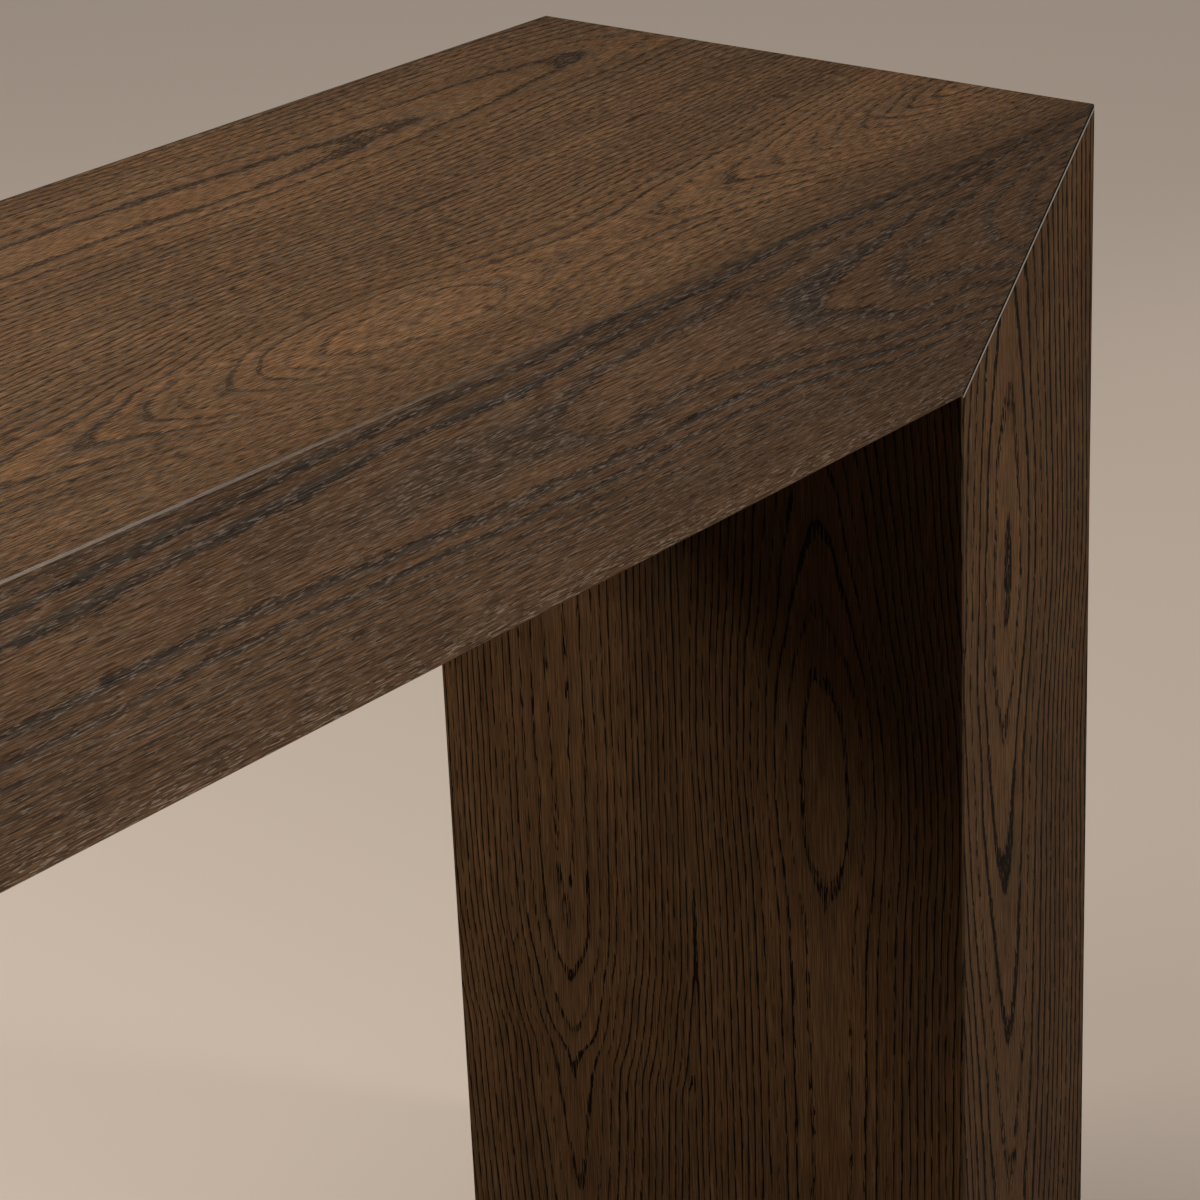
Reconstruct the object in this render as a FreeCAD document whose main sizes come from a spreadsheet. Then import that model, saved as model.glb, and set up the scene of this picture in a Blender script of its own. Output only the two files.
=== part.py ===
"""Waterfall hallway table: a hollow top and two hollow legs of mitred, veneered boards, standing on screw feet.

Millimetres, +Z up, +X along the length, the front face towards -Y, origin on the floor below the table's centre.
The right half is drawn, and pieces that the left half repeats are the same pieces turned half round about Z.
"""

import FreeCAD, Part
import math
import os

import Sketcher

Vector = FreeCAD.Vector
ROOT_HALF = math.sqrt(0.5)
ROOT_TWO = math.sqrt(2.0)
HALF_TURN = FreeCAD.Rotation(Vector(0, 0, 1), 180)
NO_TURN = FreeCAD.Rotation()

# Driving dimensions
SIZES = {
    "table_length": 1524.0,
    "table_depth": 381.0,
    "table_height": 762.0,
    "beam_thickness": 127.0,
    "foot_gap": 5.0,
    # veneered boards and the easing of their edges
    "board_thickness": 19.0,
    "arris": 1.0,
    "mitre_bevel": 1.3,
    "saw_overrun": 5.0,
    # plywood splines in the long mitres
    "spline_thickness": 4.0,
    "spline_width": 15.0,
    "spline_set": 12.0,
    "spline_clearance": 0.1,
    "spline_end_gap": 6.0,
    # inner frame
    "rib_thickness": 15.0,
    "stringer_thickness": 18.0,
    "lap_clearance": 0.2,
    "bulkhead_thickness": 21.0,
    # loose tenons across each mitred corner
    "tenon_thickness": 10.0,
    "tenon_width": 44.0,
    "tenon_length": 34.0,
    "tenon_pitch": 105.0,
    "tenon_clearance": 0.15,
    # closing board at the bottom of each leg
    "base_thickness": 24.0,
    "cleat_size": 22.0,
    "cleat_end_gap": 25.0,
    # screw feet
    "foot_inset": 58.0,
    "stud_diameter": 8.0,
    "stud_length": 34.0,
    "stud_clearance": 0.08,
    "stud_head": 14.0,
    "stud_head_height": 2.4,
    "collar_flats": 13.0,
    "collar_height": 5.0,
    "collar_gap": 0.3,
    "insert_flange": 19.0,
    "insert_flange_height": 1.5,
    "insert_barrel": 11.0,
    "insert_length": 16.0,
    "insert_clearance": 0.1,
    "pad_diameter": 32.0,
    "pad_crown": 20.0,
    "pad_height": 7.0,
    "pad_floor": 2.6,
    "pad_clearance": 0.3,
}
TOP_RIBS = 5
LEG_RIBS = 2
TENONS = 3

document = FreeCAD.newDocument("waterfall_table")
sheet = document.addObject("Spreadsheet::Sheet", "Sizes")
for row, (alias, number) in enumerate(SIZES.items(), start=1):
    sheet.set(f"A{row}", alias)
    sheet.set(f"B{row}", str(number))
    sheet.setAlias(f"B{row}", alias)
document.recompute()


class Size:
    """A length that keeps both its number and the sheet expression that gives it."""

    def __init__(self, value, text):
        self.value = value
        self.text = text

    def __add__(self, other):
        other = as_size(other)
        return Size(self.value + other.value, f"({self.text} + {other.text})")

    def __sub__(self, other):
        other = as_size(other)
        return Size(self.value - other.value, f"({self.text} - {other.text})")

    def __mul__(self, factor):
        return Size(self.value * factor, f"({self.text} * {factor!r})")

    def __truediv__(self, factor):
        return Size(self.value / factor, f"({self.text} / {factor!r})")

    def __neg__(self):
        return Size(-self.value, f"(-{self.text})")


def as_size(number):
    """A plain number as a size with no cell behind it."""
    return number if isinstance(number, Size) else Size(number, repr(number))


def cell(alias):
    """The size held by a cell of the sheet."""
    return Size(SIZES[alias], f"Sizes.{alias}")


# Sizes that several pieces share
zero = as_size(0.0)
half_length = cell("table_length") / 2
half_depth = cell("table_depth") / 2
top_z = cell("table_height")
beam = cell("beam_thickness")
board = cell("board_thickness")
arris = cell("arris")
overrun = cell("saw_overrun")
soffit_z = top_z - beam
leg_bottom_z = cell("foot_gap")
leg_centre_x = half_length - beam / 2
inner_half_depth = half_depth - board
inner_top_z = top_z - board
inner_soffit_z = soffit_z + board
bulkhead_run = cell("bulkhead_thickness") * ROOT_TWO
# A foot stacks up from the floor: pad, collar, insert flange, and then the base board
stud_head_z = cell("pad_floor") + cell("pad_clearance")
collar_z = cell("pad_height") + cell("pad_clearance")
collar_top_z = collar_z + cell("collar_height")
insert_z = collar_top_z + cell("collar_gap")
base_z = insert_z + cell("insert_flange_height")
base_top_z = base_z + cell("base_thickness")
foot_y = half_depth - cell("foot_inset")
cleat_x = beam / 2 - board - cell("cleat_size") / 2

subparts = []


def keep(piece, label):
    """Names a piece and lists it as a sub-part of the table."""
    piece.Label = label
    subparts.append(piece)
    return piece


def place(piece, x=zero, y=zero, z=zero, turn=NO_TURN):
    """Sets a piece's turn and binds its place to the sheet."""
    piece.Placement = FreeCAD.Placement(Vector(x.value, y.value, z.value), turn)
    for axis, size in zip("xyz", (x, y, z)):
        piece.setExpression(f"Placement.Base.{axis}", size.text)
    return piece


def new_body(name):
    return document.addObject("PartDesign::Body", name)


# Sketches and features, every size bound to the sheet
def new_sketch(body, plane, name, lift=None):
    """A sketch on one of the body's origin planes, lifted along the plane's normal if asked."""
    sketch = body.newObject("Sketcher::SketchObject", name)
    support = next(o for o in body.Origin.OriginFeatures if o.Role == plane)
    sketch.AttachmentSupport = [(support, "")]
    sketch.MapMode = "FlatFace"
    if lift is not None:
        sketch.AttachmentOffset = FreeCAD.Placement(Vector(0, 0, lift.value), NO_TURN)
        sketch.setExpression("AttachmentOffset.Base.z", lift.text)
    return sketch


def bind(sketch, kind, elements, size):
    """Adds a constraint whose value the sheet gives."""
    index = sketch.addConstraint(Sketcher.Constraint(kind, *elements, size.value))
    sketch.setExpression(f"Constraints[{index}]", size.text)


def add_outline(sketch, corners):
    """A closed outline of straight lines, with each corner measured from the sketch's origin."""
    points = [Vector(x.value, y.value, 0) for x, y in corners]
    first = sketch.GeometryCount
    count = len(points)
    for index in range(count):
        sketch.addGeometry(Part.LineSegment(points[index], points[(index + 1) % count]))
    for index in range(count):
        after = first + (index + 1) % count
        sketch.addConstraint(Sketcher.Constraint("Coincident", first + index, 2, after, 1))
    for index, (x, y) in enumerate(corners):
        bind(sketch, "DistanceX", (-1, 1, first + index, 1), x)
        bind(sketch, "DistanceY", (-1, 1, first + index, 1), y)


def rectangle(x, y, half_x, half_y):
    """The corners of a rectangle about a point."""
    return [(x + half_x * i, y + half_y * j) for i, j in ((1, 1), (-1, 1), (-1, -1), (1, -1))]


def add_circle(sketch, x, y, diameter):
    """A circle with its centre measured from the sketch's origin."""
    centre = Vector(x.value, y.value, 0)
    circle = sketch.addGeometry(Part.Circle(centre, Vector(0, 0, 1), diameter.value / 2))
    bind(sketch, "DistanceX", (-1, 1, circle, 3), x)
    bind(sketch, "DistanceY", (-1, 1, circle, 3), y)
    bind(sketch, "Diameter", (circle,), diameter)


def pad(body, sketch, length, symmetric=True, backward=False):
    """Pads a sketch, equally to both sides of its plane or to one side."""
    feature = body.newObject("PartDesign::Pad", "Pad")
    feature.Profile = sketch
    feature.SideType = "Symmetric" if symmetric else "One side"
    feature.Reversed = backward
    feature.Length = length.value
    feature.setExpression("Length", length.text)
    document.recompute()
    return feature


def pocket(body, sketch, depth=None, backward=False):
    """Cuts a sketch to a depth on one side of its plane, or right through to both sides."""
    before = body.Shape.Volume
    feature = body.newObject("PartDesign::Pocket", "Pocket")
    feature.Profile = sketch
    if depth is None:
        feature.Type = "ThroughAll"
        feature.SideType = "Symmetric"
    else:
        feature.Length = depth.value
        feature.setExpression("Length", depth.text)
        feature.Reversed = backward
    document.recompute()
    if body.Shape.Volume >= before:
        raise RuntimeError(f"{body.Label}: {feature.Label} cuts nothing")
    return feature


def revolve(body, corners):
    """Turns an outline in the body's XZ plane once round its Z axis."""
    sketch = new_sketch(body, "XZ_Plane", "Profile")
    add_outline(sketch, corners)
    feature = body.newObject("PartDesign::Revolution", "Revolution")
    feature.Profile = sketch
    feature.ReferenceAxis = (sketch, ["V_Axis"])
    feature.Angle = 360.0
    document.recompute()
    return feature


def chamfer_edges(body, size, wanted):
    """Chamfers the straight edges of a body whose ends and middle are wanted."""
    base = body.Tip
    names = []
    for number, edge in enumerate(base.Shape.Edges, start=1):
        points = [vertex.Point for vertex in edge.Vertexes] + [edge.CenterOfMass]
        if all(wanted(point) for point in points):
            names.append(f"Edge{number}")
    feature = body.newObject("PartDesign::Chamfer", "Chamfer")
    feature.Base = (base, names)
    feature.Size = size.value
    feature.setExpression("Size", size.text)
    document.recompute()
    return feature


def near(a, b):
    return abs(a - b) < 1e-4


def on_mitre(point):
    """True on either of the two 45 degree planes where the top meets a leg."""
    return near(abs(point.x) - point.z, half_length.value - top_z.value)


def board_section(width):
    """A board's section: u across its outer face, v into its thickness.

    Both long edges are mitred at 45 degrees, with a groove square to the mitre for the spline, and the sharp tips
    are eased so that two boards together show one narrow bevel.
    """
    half = width / 2
    groove_half = (cell("spline_thickness") / 2 + cell("spline_clearance")) * ROOT_HALF
    groove_depth = (cell("spline_width") / 2 + cell("spline_clearance")) * ROOT_HALF
    outer_lip = cell("spline_set") - groove_half
    inner_lip = cell("spline_set") + groove_half
    edge = [
        (half - arris, zero),
        (half - arris / 2, arris / 2),
        (half - outer_lip, outer_lip),
        (half - outer_lip - groove_depth, outer_lip - groove_depth),
        (half - inner_lip - groove_depth, inner_lip - groove_depth),
        (half - inner_lip, inner_lip),
        (half - board, board),
    ]
    return edge + [(-u, v) for u, v in reversed(edge)]


# Boards of the top
def cut_top_ends(body):
    """Saws both ends of a board of the top along the planes where it meets the legs."""
    sketch = new_sketch(body, "XZ_Plane", "EndMitres")
    right = [
        (half_length - arris, top_z + overrun),
        (half_length - arris, top_z),
        (half_length - arris / 2, top_z - arris / 2),
        (half_length - beam - overrun, soffit_z - overrun),
        (half_length + overrun, soffit_z - overrun),
        (half_length + overrun, top_z + overrun),
    ]
    add_outline(sketch, right)
    add_outline(sketch, [(-x, z) for x, z in right])
    pocket(body, sketch)


def top_board(label, width, lay):
    """A board of the top along X. lay turns a point of its section into Y and Z."""
    body = new_body(label)
    sketch = new_sketch(body, "YZ_Plane", "Section")
    add_outline(sketch, [lay(u, v) for u, v in board_section(width)])
    pad(body, sketch, cell("table_length"))
    cut_top_ends(body)
    return keep(body, label)


def apron(label, turn):
    """A long side of the top, with its ends bevelled where they meet the legs' faces."""
    body = top_board(label, beam, lambda u, v: (v - half_depth, top_z - beam / 2 + u))
    chamfer_edges(body, cell("mitre_bevel"), lambda p: near(p.y, -half_depth.value) and on_mitre(p))
    return place(body, turn=turn)


top_board("top_panel", cell("table_depth"), lambda u, v: (u, top_z - v))
top_board("soffit_panel", cell("table_depth"), lambda u, v: (u, soffit_z + v))
apron("front_apron", NO_TURN)
apron("rear_apron", HALF_TURN)


# Splines: one in each long mitre
spline_half_diagonal = (cell("spline_width") / 2 + cell("spline_thickness") / 2) * ROOT_HALF


def spline_outline(x, y, side_x, side_y):
    """A spline's section at 45 degrees, its long way square to the mitre of the corner on those two sides."""
    along = cell("spline_width") / 2 * ROOT_HALF
    across = cell("spline_thickness") / 2 * ROOT_HALF
    outline = []
    for way, turn in ((1, 1), (1, -1), (-1, -1), (-1, 1)):
        u = along * way
        v = across * turn
        outline.append((x - u * side_x + v * side_x, y + u * side_y + v * side_y))
    return outline


def top_spline(label, side_y, side_z):
    """A spline along one of the top's four long mitres, stopped short of the corner joints."""
    body = new_body(label)
    sketch = new_sketch(body, "YZ_Plane", "Section")
    y = (half_depth - cell("spline_set")) * side_y
    z = top_z - beam / 2 + (beam / 2 - cell("spline_set")) * side_z
    add_outline(sketch, spline_outline(y, z, side_y, side_z))
    lowest = top_z - z + spline_half_diagonal + cell("spline_end_gap")
    pad(body, sketch, (half_length - lowest) * 2)
    return keep(body, label)


for depth_word, side_y in (("front", -1), ("rear", 1)):
    for height_word, side_z in (("upper", 1), ("lower", -1)):
        top_spline(f"{depth_word}_{height_word}_spline", side_y, side_z)


# Inner frame of the top: ribs half-lapped into one stringer
rib_pitch = (cell("table_length") - beam * 2) / (TOP_RIBS + 1)
lap_z = (inner_top_z + inner_soffit_z) / 2
half_lap = cell("lap_clearance") / 2


def rib_x(number):
    """The middle of a rib of the top, counted from the left."""
    return rib_pitch * (number - (TOP_RIBS - 1) / 2)


def top_rib(number):
    """A cross rib that fills the top's hollow, notched from above over the stringer."""
    body = new_body(f"top_rib_{number + 1}")
    sketch = new_sketch(body, "YZ_Plane", "Outline", lift=rib_x(number))
    notch = cell("stringer_thickness") / 2 + cell("lap_clearance")
    right = [
        (inner_half_depth, inner_soffit_z),
        (inner_half_depth, inner_top_z),
        (notch, inner_top_z),
        (notch, lap_z - half_lap),
    ]
    add_outline(sketch, right + [(-y, z) for y, z in reversed(right)])
    pad(body, sketch, cell("rib_thickness"))
    return keep(body, f"top_rib_{number + 1}")


def stringer():
    """The lengthwise rail, from bulkhead to bulkhead, notched from below over each rib."""
    body = new_body("centre_stringer")
    sketch = new_sketch(body, "XZ_Plane", "Outline")
    upper_end = half_length - board - bulkhead_run
    lower_end = half_length - beam + board - bulkhead_run
    notch = cell("rib_thickness") / 2 + cell("lap_clearance")
    outline = [(upper_end, inner_top_z), (-upper_end, inner_top_z), (-lower_end, inner_soffit_z)]
    for number in range(TOP_RIBS):
        x = rib_x(number)
        outline += [
            (x - notch, inner_soffit_z),
            (x - notch, lap_z + half_lap),
            (x + notch, lap_z + half_lap),
            (x + notch, inner_soffit_z),
        ]
    outline.append((lower_end, inner_soffit_z))
    add_outline(sketch, outline)
    pad(body, sketch, cell("stringer_thickness"))
    return keep(body, "centre_stringer")


for rib_number in range(TOP_RIBS):
    top_rib(rib_number)
stringer()


# Boards of a leg
def cut_leg_top(body):
    """Saws a leg board's upper end along the plane where it meets the top."""
    sketch = new_sketch(body, "XZ_Plane", "TopMitre")
    outline = [
        (half_length + overrun, top_z - arris),
        (half_length, top_z - arris),
        (half_length - arris / 2, top_z - arris / 2),
        (half_length - beam - overrun, soffit_z - overrun),
        (half_length - beam - overrun, top_z + overrun),
        (half_length + overrun, top_z + overrun),
    ]
    add_outline(sketch, outline)
    pocket(body, sketch)


def leg_board(label, width, turn, lay, outer_face):
    """An upright board of a leg. lay turns its section into X and Y; outer_face tells points of its show face."""
    body = new_body(label)
    sketch = new_sketch(body, "XY_Plane", "Section", lift=leg_bottom_z)
    add_outline(sketch, [lay(u, v) for u, v in board_section(width)])
    pad(body, sketch, top_z - leg_bottom_z, symmetric=False)
    cut_leg_top(body)
    chamfer_edges(body, arris, lambda p: near(p.z, leg_bottom_z.value) and outer_face(p))
    keep(body, label)
    return place(body, turn=turn)


def leg_face(label, side, turn):
    """A narrow board on the leg's front (side -1) or rear (side 1), bevelled where it meets the apron."""
    face_y = half_depth * side
    body = leg_board(
        label,
        beam,
        turn,
        lambda u, v: (leg_centre_x + u, face_y - v * side),
        lambda p: near(p.y, face_y.value),
    )
    chamfer_edges(body, cell("mitre_bevel"), lambda p: near(p.y, face_y.value) and on_mitre(p))
    return body


def spline_of_leg(name, side_x, side_y):
    """A spline in one of a leg's upright mitres, stopped short of the corner joint."""
    body = new_body(name)
    sketch = new_sketch(body, "XY_Plane", "Section", lift=leg_bottom_z + arris)
    x = leg_centre_x + (beam / 2 - cell("spline_set")) * side_x
    y = (half_depth - cell("spline_set")) * side_y
    add_outline(sketch, spline_outline(x, y, side_x, side_y))
    stop_z = top_z - (half_length - x) - spline_half_diagonal - cell("spline_end_gap")
    pad(body, sketch, stop_z - leg_bottom_z - arris, symmetric=False)
    return body


def group(label, pieces, turn):
    """Like pieces as one sub-part of separate solids."""
    compound = document.addObject("Part::Compound", label)
    compound.Links = pieces
    document.recompute()
    keep(compound, label)
    return place(compound, turn=turn)


def leg_rib(label, number, turn):
    """A level plate that fills the leg's hollow and keeps its wide boards flat."""
    body = new_body(label)
    lowest = base_top_z + cell("cleat_size")
    highest = inner_soffit_z - bulkhead_run
    z = lowest + (highest - lowest) * (number + 1) / (LEG_RIBS + 1)
    sketch = new_sketch(body, "XY_Plane", "Outline", lift=z)
    add_outline(sketch, rectangle(leg_centre_x, zero, beam / 2 - board, inner_half_depth))
    pad(body, sketch, cell("rib_thickness"))
    keep(body, label)
    return place(body, turn=turn)


# Corner joint: two bulkheads glued face to face on the mitre plane, keyed by loose tenons
def place_corner(body, side, turn):
    """Sets a corner piece in the mitre plane: its X runs up the mitre and its Z points into the top."""
    slope = turn * FreeCAD.Rotation(Vector(0, 1, 0), -45)
    return place(body, x=leg_centre_x * side, z=top_z - beam / 2, turn=slope)


def tenon_outline(number, gap):
    """A tenon's section in the mitre plane, counted along Y, with a gap all round for its mortise."""
    half_x = cell("tenon_thickness") / 2 + gap
    half_y = cell("tenon_width") / 2 + gap
    middle = cell("tenon_pitch") * (number - (TENONS - 1) / 2)
    return rectangle(zero, middle, half_x, half_y)


def bulkhead(label, into_top, side, turn):
    """A bevel-edged board that closes the hollow at the mitre, mortised for the tenons."""
    body = new_body(label)
    half = (beam / 2 - board) * ROOT_TWO
    thickness = cell("bulkhead_thickness")
    back = thickness * (1 if into_top else -1)
    sketch = new_sketch(body, "XZ_Plane", "Section")
    add_outline(sketch, [(-half, zero), (half, zero), (half - thickness, back), (-half - thickness, back)])
    pad(body, sketch, inner_half_depth * 2)
    mortises = new_sketch(body, "XY_Plane", "Mortises")
    gap = cell("tenon_clearance")
    for number in range(TENONS):
        add_outline(mortises, tenon_outline(number, gap))
    pocket(body, mortises, cell("tenon_length") / 2 + gap, backward=into_top)
    keep(body, label)
    return place_corner(body, side, turn)


def corner_tenons(label, side, turn):
    """Square-edged loose tenons, half in each bulkhead."""
    pieces = []
    for number in range(TENONS):
        body = new_body(f"{label}_{number + 1}")
        sketch = new_sketch(body, "XY_Plane", "Section")
        add_outline(sketch, tenon_outline(number, zero))
        pad(body, sketch, cell("tenon_length"))
        pieces.append(body)
    return place_corner(group(label, pieces, turn), side, turn)


# Closing board of a leg, under two cleats
def base_board(label, turn):
    """The board that closes a leg just above the floor and carries its screw feet."""
    body = new_body(label)
    sketch = new_sketch(body, "XY_Plane", "Outline", lift=base_z)
    add_outline(sketch, rectangle(leg_centre_x, zero, beam / 2 - board, inner_half_depth))
    pad(body, sketch, cell("base_thickness"), symmetric=False)
    holes = new_sketch(body, "XY_Plane", "Holes")
    for side_y in (-1, 1):
        bore = cell("insert_barrel") + cell("insert_clearance") * 2
        add_circle(holes, leg_centre_x, foot_y * side_y, bore)
    pocket(body, holes)
    keep(body, label)
    return place(body, turn=turn)


def base_cleats(label, turn):
    """Two square battens, glued to the wide boards, that the base board is fixed up against."""
    pieces = []
    half = cell("cleat_size") / 2
    reach = inner_half_depth - cell("cleat_end_gap")
    for side_x in (-1, 1):
        body = new_body(f"{label}_{len(pieces) + 1}")
        sketch = new_sketch(body, "XY_Plane", "Outline", lift=base_top_z)
        add_outline(sketch, rectangle(leg_centre_x + cleat_x * side_x, zero, half, reach))
        pad(body, sketch, cell("cleat_size"), symmetric=False)
        pieces.append(body)
    return group(label, pieces, turn)


# Screw feet
def foot_inserts(label, turn):
    """Flanged threaded inserts, pressed up into the base board, one for each foot."""
    bore = cell("stud_diameter") / 2 + cell("stud_clearance")
    flange = cell("insert_flange") / 2
    barrel = cell("insert_barrel") / 2
    shoulder = cell("insert_flange_height")
    length = cell("insert_length")
    profile = [(bore, zero), (flange, zero), (flange, shoulder), (barrel, shoulder), (barrel, length), (bore, length)]
    pieces = []
    for side_y in (-1, 1):
        body = new_body(f"{label}_{len(pieces) + 1}")
        revolve(body, profile)
        place(body, leg_centre_x, foot_y * side_y, insert_z)
        pieces.append(body)
    return group(label, pieces, turn)


def foot_stud(label, side_x, side_y):
    """A threaded stud with a six-sided collar for a spanner and a round head that turns in the pad."""
    head = cell("stud_head") / 2
    shank = cell("stud_diameter") / 2
    head_top_z = stud_head_z + cell("stud_head_height")
    tip_z = collar_top_z + cell("stud_length")
    body = new_body(label)
    revolve(
        body,
        [
            (zero, stud_head_z),
            (head, stud_head_z),
            (head, head_top_z),
            (shank, head_top_z),
            (shank, tip_z),
            (zero, tip_z),
        ],
    )
    collar = new_sketch(body, "XY_Plane", "Collar", lift=collar_z)
    corner = cell("collar_flats") / math.sqrt(3.0)
    turns = [math.radians(60 * i) for i in range(6)]
    add_outline(collar, [(corner * math.cos(a), corner * math.sin(a)) for a in turns])
    pad(body, collar, cell("collar_height"), symmetric=False)
    keep(body, label)
    return place(body, leg_centre_x * side_x, foot_y * side_y)


def foot_pad(label, side_x, side_y):
    """A domed pad that stands on the floor, hollow for the stud's head and open for its neck."""
    gap = cell("pad_clearance")
    rim = cell("pad_diameter") / 2
    crown = cell("pad_crown") / 2
    neck = cell("stud_diameter") / 2 + gap
    socket = cell("stud_head") / 2 + gap
    socket_top_z = stud_head_z + cell("stud_head_height") + gap
    body = new_body(label)
    revolve(
        body,
        [
            (zero, zero),
            (rim, zero),
            (crown, cell("pad_height")),
            (neck, cell("pad_height")),
            (neck, socket_top_z),
            (socket, socket_top_z),
            (socket, cell("pad_floor")),
            (zero, cell("pad_floor")),
        ],
    )
    keep(body, label)
    return place(body, leg_centre_x * side_x, foot_y * side_y)


def leg(word, side, turn):
    """One whole leg: four boards, splines, ribs, corner joint, base, and its screw feet."""
    # Turned half round, the drawn front comes to the rear
    front = -side
    leg_board(
        f"{word}_leg_outer_panel",
        cell("table_depth"),
        turn,
        lambda u, v: (half_length - v, u),
        lambda p: near(p.x, half_length.value),
    )
    leg_board(
        f"{word}_leg_inner_panel",
        cell("table_depth"),
        turn,
        lambda u, v: (half_length - beam + v, u),
        lambda p: near(p.x, (half_length - beam).value),
    )
    leg_face(f"{word}_leg_front_board", front, turn)
    leg_face(f"{word}_leg_rear_board", -front, turn)
    corners = [(i, j) for i in (-1, 1) for j in (-1, 1)]
    splines = [spline_of_leg(f"{word}_leg_spline_{n}", i, j) for n, (i, j) in enumerate(corners, start=1)]
    group(f"{word}_leg_splines", splines, turn)
    for number in range(LEG_RIBS):
        leg_rib(f"{word}_leg_rib_{number + 1}", number, turn)
    bulkhead(f"{word}_top_bulkhead", True, side, turn)
    bulkhead(f"{word}_leg_bulkhead", False, side, turn)
    corner_tenons(f"{word}_corner_tenons", side, turn)
    base_board(f"{word}_base_board", turn)
    base_cleats(f"{word}_base_cleats", turn)
    foot_inserts(f"{word}_foot_inserts", turn)
    for depth_word, side_y in (("front", -1), ("rear", 1)):
        foot_stud(f"{word}_{depth_word}_foot_stud", side, side_y)
        foot_pad(f"{word}_{depth_word}_foot_pad", side, side_y)


leg("right", 1, NO_TURN)
leg("left", -1, HALF_TURN)


# Checks and export
def check(piece):
    """Stops the build if a piece, or a feature in it, failed."""
    if piece.Shape.isNull() or not piece.Shape.isValid():
        raise RuntimeError(f"{piece.Label} has no valid shape")
    for solid in piece.Shape.Solids:
        if solid.Volume <= 0:
            raise RuntimeError(f"{piece.Label} has an empty solid")


document.recompute()
for item in document.Objects:
    if "Invalid" in item.State or "Error" in item.State:
        raise RuntimeError(f"{item.Label} failed: {item.State}")
os.makedirs("parts", exist_ok=True)
for subpart in subparts:
    check(subpart)
    subpart.Shape.exportStep(f"parts/{subpart.Label}.step")
print(f"{len(subparts)} sub-parts, {sum(len(p.Shape.Solids) for p in subparts)} solids")
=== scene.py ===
import math

import bmesh
import bpy
from mathutils import Matrix, Vector


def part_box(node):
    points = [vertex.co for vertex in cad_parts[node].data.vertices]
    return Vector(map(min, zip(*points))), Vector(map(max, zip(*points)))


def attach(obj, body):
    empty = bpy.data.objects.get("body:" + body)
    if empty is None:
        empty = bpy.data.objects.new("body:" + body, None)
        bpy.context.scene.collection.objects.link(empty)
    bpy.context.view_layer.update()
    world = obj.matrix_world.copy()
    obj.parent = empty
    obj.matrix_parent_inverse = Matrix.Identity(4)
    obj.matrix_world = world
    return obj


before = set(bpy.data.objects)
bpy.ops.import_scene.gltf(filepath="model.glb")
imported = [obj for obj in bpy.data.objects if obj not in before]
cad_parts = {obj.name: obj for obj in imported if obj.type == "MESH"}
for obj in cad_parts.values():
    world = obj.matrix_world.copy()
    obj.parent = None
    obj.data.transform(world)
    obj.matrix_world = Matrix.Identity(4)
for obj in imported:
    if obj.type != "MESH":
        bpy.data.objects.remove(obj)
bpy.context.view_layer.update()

# Inner frame: cross ribs, bulkheads and level ribs sawn from birch plywood, closed inside the hollow top and legs.
# Seven veneers show on a rib's sawn edge as fine light and dark lines, and the faces have the wide, pale figure of
# rotary-cut birch. Everything is glued in place before the last boards close over it.


def wire(tree, kind, inputs=None, output=0, **settings):
    """Adds a node, sets or links its inputs, and returns one of its outputs."""
    made = tree.nodes.new(kind)
    for name, value in settings.items():
        setattr(made, name, value)
    for place, value in (inputs or {}).items():
        if isinstance(value, bpy.types.NodeSocket):
            tree.links.new(value, made.inputs[place])
        else:
            made.inputs[place].default_value = value
    return made.outputs[output]


def maths(tree, operation, *values):
    """One sum on values that change over the surface."""
    return wire(tree, "ShaderNodeMath", dict(enumerate(values)), operation=operation)


def blend_colours(tree, amount, first, second, blend_type="MIX"):
    """Mixes two colours by an amount that changes over the surface."""
    inputs = {0: amount, 6: first, 7: second}
    return wire(tree, "ShaderNodeMix", inputs, 2, data_type="RGBA", blend_type=blend_type)


def smooth_step(tree, value, low, high):
    """Rises smoothly from 0 to 1 between two levels."""
    inputs = {0: value, 1: low, 2: high}
    return wire(tree, "ShaderNodeMapRange", inputs, interpolation_type="SMOOTHSTEP")


def stretched_noise(tree, x, y, z, detail=2.0, roughness=0.5):
    """Soft noise on coordinates that are already scaled to its grain."""
    point = wire(tree, "ShaderNodeCombineXYZ", {0: x, 1: y, 2: z})
    return wire(tree, "ShaderNodeTexNoise", {"Vector": point, "Scale": 1.0, "Detail": detail, "Roughness": roughness})


def new_material(name, roughness, metallic=0.0, specular=0.5):
    """A material with its shader, and the X, Y and Z of the point in metres."""
    material = bpy.data.materials.new(name)
    material.use_nodes = True
    tree = material.node_tree
    shader = tree.nodes["Principled BSDF"]
    shader.inputs["Roughness"].default_value = roughness
    shader.inputs["Metallic"].default_value = metallic
    shader.inputs["Specular IOR Level"].default_value = specular
    point = wire(tree, "ShaderNodeTexCoord", output=3)
    split = tree.nodes.new("ShaderNodeSeparateXYZ")
    tree.links.new(point, split.inputs[0])
    return material, tree, shader, tuple(split.outputs)


def set_bump(tree, shader, height, distance, strength=1.0):
    """Raises the surface by a height of 0 to 1 times a distance in metres."""
    bump = wire(tree, "ShaderNodeBump", {"Height": height, "Distance": distance, "Strength": strength})
    tree.links.new(bump, shader.inputs["Normal"])


def dress(nodes, material):
    """Gives CAD nodes a material in place of their plain one."""
    for name in nodes:
        for material_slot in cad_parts[name].material_slots:
            material_slot.material = material


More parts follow.
